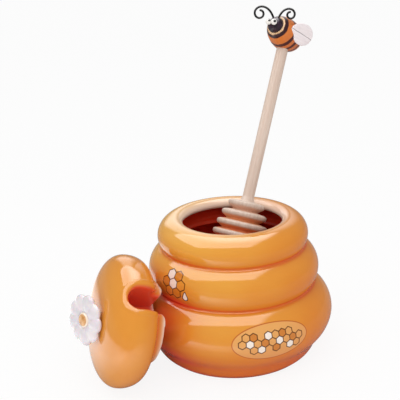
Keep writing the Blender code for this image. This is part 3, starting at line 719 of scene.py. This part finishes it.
daisy_frame = np.array([
    (0.708920, 0.216447, -0.671255, -0.072991),
    (-0.698868, 0.087450, -0.709884, -0.046713),
    (-0.094951, 0.972370, 0.213263, 0.038146),
])
daisy_radius = 0.0125
petal_length = 0.0094
petal_width = 0.0079
petal_thickness = 0.0042
petal_flare = 0.22
petal_bearings = np.radians([206, 249, 287, 327, 6, 46, 85, 124, 163])
petal_lengths = np.array([1.0, 0.97, 1.02, 1.0, 0.98, 1.0, 1.02, 1.0, 0.98])
daisy_disc = (0.0058, 0.0030)
daisy_neck = (0.0026, 0.0012, 0.0040)
neck_sink = 0.0006
button_radius = 0.0037
button_level = 0.0009
button_height = 0.0013
button_skirt = 0.0004
pocket_gap, pocket_softness = 0.0004, 0.0006
furrow = 0.0005
petal_net = ((-0.0135, -0.0135, -0.0085), (0.0135, 0.0135, 0.0032), 0.00025)


def egg(points, centre, reach):
    """Near distance from an ellipsoid, from its shares of the half lengths."""
    shares = (points - centre) / reach
    near = np.linalg.norm(shares, axis=-1)
    rate = np.linalg.norm(shares / reach, axis=-1)
    return near * (near - 1) / np.clip(rate, 1e-6, None)


def daisy_field(points):
    """Distance from nine petals and a disc run together, with a neck below and a pocket for the button."""
    nearest = egg(points, (0, 0, 0), (daisy_disc[0], daisy_disc[0], daisy_disc[1] / 2))
    for bearing, share in zip(petal_bearings, petal_lengths):
        out, side = out_and_side(points, bearing)
        half = petal_length * share / 2
        along = out - (daisy_radius * share - half)
        width = petal_width / 2 * (1 + petal_flare * np.clip(along / half, -1, 1))
        petal = egg(np.stack([along, side * petal_width / 2 / width, points[..., 2]], axis=-1),
                    (0, 0, 0), (half, petal_width / 2, petal_thickness / 2))
        nearest = -soft_most(-nearest, -petal, furrow)
    home = placed(placed(points, daisy_frame) - lid_frame[:, 3], np.c_[lid_frame[:, :3].T, np.zeros(3)])
    stem = np.hypot(home[..., 0] - daisy_neck[0], home[..., 1] - daisy_neck[1]) - daisy_neck[2]
    stem = np.maximum(stem, np.maximum(lid_height - neck_sink - home[..., 2], points[..., 2]))
    nearest = -soft_most(-nearest, -stem, furrow)
    pocket = np.maximum(np.hypot(points[..., 0], points[..., 1]) - button_radius - pocket_gap,
                        button_level - points[..., 2])
    return soft_most(nearest, -pocket, pocket_softness)


def mottled(tree, size, detail, stops):
    """A colour that drifts between stops over a size in metres, with the noise in the piece's place that
    drives it."""
    place = add_node(tree, "TexCoord")
    clouds = add_node(tree, "TexNoise", {"Vector": place.outputs["Object"], "Scale": 1 / size, "Detail": detail})
    return add_node(tree, "ValToRGB", {0: clouds}, stops), clouds


# Opaque white glaze: a soft wide gloss, a little light under its skin, and a faint lilac drift 6 mm across.
white_clay, tree, shader = new_material("white_glaze")
colour = mottled(tree, 0.006, 2.0, [(0.35, "DDD5DB"), (0.65, "E9E3E5")])[0]
set_inputs(shader, {"Base Color": colour, "Roughness": 0.16, "IOR": 1.5, "Subsurface Weight": 0.25,
                    "Subsurface Scale": 0.001})
petal_points, petal_faces, petal_normals = netted(daisy_field, *petal_net)
petal_mesh = netted_mesh("petals", placed(petal_points, daisy_frame), petal_faces,
                         petal_normals @ daisy_frame[:, :3].T)
place_piece("daisy_flower", petal_mesh, white_clay, "lid", "white_glaze", "daisy_petals")

# Orange glaze that broke over a rough button: speckles 2 mm apart, pits under the gloss, a cream rim.
orange_clay, tree, shader = new_material("orange_glaze")
colour, spots = mottled(tree, 0.0022, 3.0, [(0.35, "C88A4E"), (0.6, "E6B47C"), (0.8, "F0D4B0")])
brim = add_node(tree, "MapRange", {0: "reach", 1: 0.0027, 2: 0.0032})
rimmed = add_node(tree, "Mix", {0: brim, 6: colour, 7: linear("FBEBD6")}, data_type="RGBA")
bump = add_node(tree, "Bump", {"Strength": 0.5, "Distance": 0.0003, "Height": spots})
set_inputs(shader, {"Base Color": rimmed.outputs[2], "Roughness": 0.25, "IOR": 1.5, "Normal": bump})
button_outline = np.concatenate([
    oval((0.0, button_level), (button_radius, button_height), 90, 0, 24), [(0.0, button_level - button_skirt)]])
button_outline = softened(button_outline, 0.0002, 0.0001)
button_mesh = grid_mesh("button", placed(turned(button_outline, 48), daisy_frame), {"reach": button_outline[:, :1]})
place_piece("daisy_button", button_mesh, orange_clay, "lid", "orange_glaze", "daisy_centre")


# Dipper
# One piece of beech turned on a lathe: a round handle, and a head of twelve saucer-like rings that hold
# the honey. It is sanded and left bare; the grain runs along it and shows as bows on the rings.

dipper_frame = np.array([
    (0.530967, -0.809017, 0.252122, -0.010323),
    (0.730814, 0.587785, 0.347016, -0.010635),
    (-0.428935, 0.0, 0.903335, 0.008258),
])
handle_radius = 0.003175
handle_flare = (0.0008, 0.003)
dipper_length = 0.1657
ring_count = 12
ring_pitch = 0.0056
ring_radius = 0.0157
ring_groove = 0.0036
widest_ring = 5
swells = (0.0366, 0.0390)
tip_length = 0.0073
tip_radius = 0.0048
ring_rows = np.array([(0.62, 0.03), (0.95, 0.13), (1.0, 0.30), (0.92, 0.50), (0.50, 0.68)])
ring_foot = 0.88


def ring_edge(away):
    """Radius of the head's envelope at a length down from its widest ring: two half ellipses."""
    return ring_radius * np.sqrt(unit(1 - (away / np.where(away < 0, *swells)) ** 2))


def dipper_section():
    """Outline from the handle's end down the rings to the tip, each ring a saucer round the core."""
    index = np.arange(ring_count)
    edge = ring_edge((index - widest_ring) * ring_pitch)
    core = edge - ring_groove
    below = np.minimum(core, np.append(core[1:], core[-1]))
    top = tip_length + ring_count * ring_pitch
    level = top - index * ring_pitch
    out = core[:, None] + ring_groove * ring_rows[:, 0]
    down = level[:, None] - ring_pitch * ring_rows[:, 1]
    rings = np.stack([np.c_[out, below], np.c_[down, level - ring_foot * ring_pitch]], axis=-1).reshape(-1, 2)
    handle = [(0.0, dipper_length), (handle_radius, dipper_length), (handle_radius, top + handle_flare[1]),
              (handle_radius + handle_flare[0], top)]
    tip = oval((0.0, tip_radius), (tip_radius, tip_radius), 0, -90)
    return np.concatenate([handle, rings, tip])


# Beech, sanded and bare: matt and pinkish, with fibres 1 mm apart drawn out to 30 mm along the handle, darker flecks
# 3 mm long, and painted shade with the pot's amber reflection in orange in the grooves.
beech, tree, shader = new_material("beech")
place = add_node(tree, "TexCoord")
turn = Matrix(np.r_[dipper_frame, [[0, 0, 0, 1]]].tolist())
along = add_node(tree, "Mapping", {"Vector": place.outputs["Object"], "Location": turn.translation,
                                   "Rotation": turn.to_euler()}, vector_type="TEXTURE")
fibres = add_node(tree, "Mapping", {"Vector": along, "Scale": (1 / 0.0011, 1 / 0.0011, 1 / 0.03)})
streaks = add_node(tree, "TexNoise", {"Vector": fibres, "Scale": 1.0, "Detail": 4.0})
flecks = add_node(tree, "Mapping", {"Vector": along, "Scale": (1 / 0.0004, 1 / 0.0004, 1 / 0.0028)})
rays = add_node(tree, "TexNoise", {"Vector": flecks, "Scale": 1.0, "Detail": 1.0})
colour = add_node(tree, "ValToRGB", {0: streaks}, [(0.3, "CCB3A2"), (0.5, "D4BDAD"), (0.7, "DDCABB")])
dark = add_node(tree, "MapRange", {0: rays, 1: 0.62, 2: 0.72, 3: 0.0, 4: 0.4})
wood = add_node(tree, "Mix", {0: dark, 6: colour, 7: linear("D3AE94")}, data_type="RGBA")
# Painted shade: the rings' undersides and grooves are painted orange for shade and the amber pot's reflection.
groove_shade_colour = add_node(tree, "ValToRGB", {0: "honey_and_groove_shade"}, [(0.45, "D88C56"), (1.0, "CC501E")])
groove_shaded = add_node(tree, "MapRange", {0: "honey_and_groove_shade", 1: 0.0, 2: 0.5})
wood = add_node(tree, "Mix", {0: groove_shaded, 6: wood.outputs[2], 7: groove_shade_colour}, data_type="RGBA")
bump = add_node(tree, "Bump", {"Strength": 0.15, "Distance": 0.0002, "Height": streaks})
set_inputs(shader, {"Base Color": wood.outputs[2], "Roughness": 0.55, "IOR": 1.45, "Normal": bump})
dipper_outline = softened(dipper_section(), 0.00035, 0.00035)
head_top = tip_length + ring_count * ring_pitch
down = head_top - dipper_outline[:, 1]
groove = (ring_edge(down - (widest_ring + ring_rows[2, 1]) * ring_pitch) - dipper_outline[:, 0]) / ring_groove

# Painted shade in the grooves grows over the first four rings and with the groove's depth, over a trace everywhere.
groove_shade_rate, groove_shade_start, groove_shade_trace = 2.2, 0.15, 0.06
honey_and_groove_shade = unit(down / (4 * ring_pitch)) * np.clip(groove_shade_rate * groove - groove_shade_start, groove_shade_trace, 1.0)
dipper_mesh = grid_mesh("dipper", placed(turned(dipper_outline, 96), dipper_frame), {"honey_and_groove_shade": honey_and_groove_shade[:, None]})
place_piece("dipper_turned", dipper_mesh, beech, "dipper", "beech", "honey_dipper")


# Bee body
# A turned wooden bead glued on the handle's end, sprayed orange, with a cream face ring, dark rings and
# a dark tail painted by hand. The paint is satin and a little uneven at the edges of the rings.

bee_frame = np.array([
    (-0.473303, 0.827055, 0.303257, 0.032160),
    (-0.710495, -0.561922, 0.423603, 0.047837),
    (0.520750, -0.014970, 0.853578, 0.160470),
])
bee_front = 0.0122
bee_tail = 0.0120
bee_radius = 0.0085
bee_face = 0.0052
bee_head_radius = 0.0044
bee_swell = bee_front / np.sqrt(1 - (bee_face / bee_radius) ** 2)

# Turns the bead's axis from upright to forward.
forward = np.array([(0, 0, 1, 0), (0, 1, 0, 0), (-1, 0, 0, 0)], float)
bead_outline = np.concatenate([
    [(0.0, bee_front)],
    oval((0, 0), (bee_radius, bee_swell), np.degrees(np.arccos(bee_face / bee_radius)), 0),
    oval((0, 0), (bee_radius, bee_tail), 0, -90)[1:]])
bead_outline = softened(bead_outline, 0.0004, 0.0003)

# Satin paint sprayed and banded by hand on the spinning bead: the bands waver by half a millimetre.
paint, tree, shader = new_material("bee_paint")
place = add_node(tree, "TexCoord").outputs["Object"]
painted = wavered(tree, "station", place, 0.004, 2.0, 0.0006)
ring_at = add_node(tree, "MapRange", {0: painted, 1: -bee_tail, 2: bee_front, 3: 0.0, 4: 1.0})
bands = [(-0.0120, "4A1E16"), (-0.0085, "4A1E16"), (-0.0082, "C8743C"), (-0.0055, "C4642A"), (-0.0052, "541A14"),
         (-0.0039, "541A14"), (-0.0036, "CC6A2C"), (-0.0012, "CC6A2C"), (-0.0009, "541A14"), (0.0008, "541A14"),
         (0.0011, "D06E2C"), (0.0030, "D06E2C"), (0.0033, "4E1814"), (0.0051, "4E1814"), (0.0054, "D8752E"),
         (0.0098, "DC7A30"), (0.0101, "38141A"), (0.0118, "38141A"), (0.0120, "DDAF80"), (0.0122, "E6BE92")]
colour = add_node(tree, "ValToRGB", {0: ring_at},
                  [((at + bee_tail) / (bee_front + bee_tail), shade) for at, shade in bands])
set_inputs(shader, {"Base Color": colour, "Roughness": 0.32, "IOR": 1.5})
bead_points = placed(placed(turned(bead_outline, 96), forward), bee_frame)
bead_mesh = grid_mesh("bead", bead_points, {"station": bead_outline[:, 1:]})
place_piece("bee_bead", bead_mesh, paint, "dipper", "painted_wood", "bee_body")


# Bee head and eyes
# A black ball set in the bead's face, with two white beads glued on as eyes. Each pupil is a dot of black
# paint on the side that the eye looks to.

def ball(radius, rows=48, columns=64):
    """Grid of points of a sphere round the origin."""
    return turned(oval((0, 0), (radius, radius), 90, -90, rows), columns)


eye_radius = 0.0016
eye_spacing = 0.0032
eye_rise = -0.0005
eye_stand_out = 0.0012
head_frame = np.c_[bee_frame[:, :3], bee_frame[:, 3] + bee_frame[:, 0] * bee_front]

# Black gloss paint, brushed thin: the brown primer shows in clouds 2 mm across.
black, tree, shader = new_material("black_gloss_paint")
colour = mottled(tree, 0.002, 2.0, [(0.3, "1E1119"), (0.7, "362131")])[0]
set_inputs(shader, {"Base Color": colour, "Roughness": 0.28, "IOR": 1.5})
head_mesh = grid_mesh("head", placed(ball(bee_head_radius), head_frame))
place_piece("bee_ball", head_mesh, black, "dipper", "black_paint", "bee_head")

# White gloss enamel with the pupil's dot, which ends a little softly.
eye_paint, tree, shader = new_material("eye_paint")
colour = add_node(tree, "ValToRGB", {0: "off_pupil"}, [(0.46, "161014"), (0.52, "F3F0EA")])
set_inputs(shader, {"Base Color": colour, "Roughness": 0.15, "IOR": 1.5})
eye_reach = bee_head_radius + eye_stand_out
eye_front = np.sqrt(eye_reach ** 2 - (eye_spacing / 2) ** 2 - eye_rise ** 2)
for side, hand, look in (("left", 1, (0.71, 0.70, 0.03)), ("right", -1, (0.81, 0.60, 0.24))):
    middle = np.array((eye_front, hand * eye_spacing / 2, eye_rise))
    bead = ball(eye_radius, 32, 48)
    off = np.linalg.norm(bead / eye_radius - np.array(look) / np.linalg.norm(look), axis=-1)
    eye_mesh = grid_mesh("eye", placed(bead + middle, head_frame), {"off_pupil": off})
    place_piece(f"bee_eye_bead_{side}", eye_mesh, eye_paint, "dipper", "white_paint", f"bee_eye_{side}")


# Bee wings
# Two flat wooden paddles set on edge in slots in the bead's sides, painted white, each with a pencilled
# vein from its root to its tip.

wing_length = 0.0145
wing_width = 0.0130
wing_thickness = 0.0013
wing_root = (0.0066, 0.0012, 0.0010)
wing_splay = 18.0
wing_lean = 20.0
wing_taper = 0.25


def paddle(rows, columns):
    """Closed paddle about its middle: an ellipse narrowed to one end, with a round rim and faces that
    bow out a little. Rows run from the middle of one face over the rim to the other."""
    turn = np.linspace(0, 2 * np.pi, columns + 1)
    over = np.linspace(np.pi / 2, -np.pi / 2, rows)
    reach = np.cos(over) ** 0.5
    height = np.sign(np.sin(over)) * (1 - np.cos(over) ** 5) ** 0.5
    x = reach[:, None] * np.cos(turn)
    across = reach[:, None] * np.sin(turn) * (1 - wing_taper * (1 + x) / 2)
    flat = height[:, None] * np.ones_like(turn) * wing_thickness / 2
    return np.stack([x * (wing_length + wing_root[1]) / 2, flat, across * wing_width / 2], axis=-1)


# Thin white paint over wood: matt, with the grain raised under it, and a grey pencil line half a millimetre wide.
wing_paint, tree, shader = new_material("white_wing_paint")
drawn = add_node(tree, "UVMap", uv_map="plan")
parts = add_node(tree, "SeparateXYZ", {0: drawn})
from_vein = wavered(tree, parts.outputs[1], drawn, 0.003, 1.0, 0.0003)
off_vein = add_node(tree, "Math", {0: from_vein}, operation="ABSOLUTE")
vein = add_node(tree, "MapRange", {0: off_vein, 1: 0.00010, 2: 0.00026, 3: 0.7, 4: 0.0})
streaks = add_node(tree, "Mapping", {"Vector": drawn, "Scale": (120.0, 900.0, 1.0)})
grain = add_node(tree, "TexNoise", {"Vector": streaks, "Scale": 1.0, "Detail": 3.0})
colour = add_node(tree, "ValToRGB", {0: grain}, [(0.3, "EBDFE1"), (0.55, "F3E9EA"), (0.75, "F8F1F1")])
lined = add_node(tree, "Mix", {0: vein, 6: colour, 7: linear("6E6668")}, data_type="RGBA")
bump = add_node(tree, "Bump", {"Strength": 0.3, "Distance": 0.0002, "Height": grain})
set_inputs(shader, {"Base Color": lined.outputs[2], "Roughness": 0.5, "IOR": 1.45, "Normal": bump})
for side, hand in (("left", 1), ("right", -1)):
    points = paddle(40, 72)
    plan = points[..., [0, 2]]
    splay = -hand * np.radians(wing_splay)
    lean = -hand * np.radians(wing_lean)
    lead = np.array([(np.cos(splay), -np.sin(splay), 0), (np.sin(splay), np.cos(splay), 0), (0, 0, 1)])
    lead = lead @ np.array([(1, 0, 0), (0, np.cos(lean), -np.sin(lean)), (0, np.sin(lean), np.cos(lean))])
    edge = bee_radius * np.sqrt(1 - (wing_root[0] / bee_swell) ** 2)
    points = (points + np.array(((wing_root[1] - wing_length) / 2, 0, 0))) @ lead.T
    points = points + np.array((wing_root[0], hand * edge, wing_root[2]))
    wing_mesh = grid_mesh("wing", placed(points, bee_frame), None, plan)
    place_piece(f"bee_paddle_{side}", wing_mesh, wing_paint, "dipper", "white_wing", f"bee_wing_{side}")


# Bee antennae
# Two lengths of black enamelled wire, 1.2 mm thick, pushed into holes in the head and curled into spirals
# with pliers.

wire_radius = 0.00058
wire_hole = 0.0016
antenna_plane = np.radians((32.2, 19.1))
antenna_lean = np.radians((22.0, 59.6))
curl_share = 0.12
antennae = (("left", 1, 0.0207, 80.7, -421.0), ("right", -1, 0.0248, 127.7, 423.0))


def curled(hand, length, heading, curl, count=160):
    """Middle line of a wire: straight out of its hole, then a curl that tightens evenly to its end."""
    turn, dip = antenna_plane
    side = np.array((-np.sin(turn), np.cos(turn), 0.0))
    rise = np.array((np.sin(dip) * np.cos(turn), np.sin(dip) * np.sin(turn), np.cos(dip)))
    spread, lift = antenna_lean
    root = bee_head_radius * np.array((np.cos(spread) * np.cos(lift), hand * np.sin(spread),
                                       np.cos(spread) * np.sin(lift)))
    share = (np.arange(count) + 0.5) / count
    angle = np.radians(heading) + np.radians(curl) * (curl_share * share + (1 - curl_share) * share ** 2)
    ways = np.cos(angle)[:, None] * side + np.sin(angle)[:, None] * rise
    start = np.cos(np.radians(heading)) * side + np.sin(np.radians(heading)) * rise
    bends = root + np.concatenate([[np.zeros(3)], np.cumsum(ways, axis=0) * length / count])
    return np.concatenate([[root - start * wire_hole], bends]), np.cross(side, rise)


def tube(path, binormal, radius, columns=20):
    """Round wire along a path in one plane: a ring square to the path at each point, and round ends."""
    way = np.gradient(path, axis=0)
    way /= np.linalg.norm(way, axis=-1, keepdims=True)
    flat = np.cross(way, binormal)
    angles = np.linspace(0, 2 * np.pi, columns + 1)
    rings = np.cos(angles)[None, :, None] * flat[:, None, :] + np.sin(angles)[None, :, None] * binormal
    cap = np.radians(np.linspace(90, 0, 8))[:-1]
    first = path[0] - way[0] * radius * np.sin(cap)[:, None]
    last = (path[-1] + way[-1] * radius * np.sin(cap)[:, None])[::-1]
    centres = np.concatenate([first, path, last])
    sizes = radius * np.concatenate([np.cos(cap), np.ones(len(path)), np.cos(cap)[::-1]])
    rows = np.concatenate([np.repeat(rings[:1], len(cap), 0), rings, np.repeat(rings[-1:], len(cap), 0)])
    return centres[:, None, :] + rows * sizes[:, None, None]


# Baked enamel: an even satin black, rubbed a little greyer in clouds 1.5 mm across.
enamel, tree, shader = new_material("black_enamelled_wire")
colour = mottled(tree, 0.0015, 2.0, [(0.4, "0F0D0E"), (0.75, "221E1F")])[0]
set_inputs(shader, {"Base Color": colour, "Roughness": 0.35, "IOR": 1.5})
for side, hand, length, heading, curl in antennae:
    path, square = curled(hand, length, heading, curl)
    wire_mesh = grid_mesh("wire", placed(tube(path, square, wire_radius), head_frame))
    place_piece(f"bee_wire_{side}", wire_mesh, enamel, "dipper", "black_wire", f"bee_antenna_{side}")
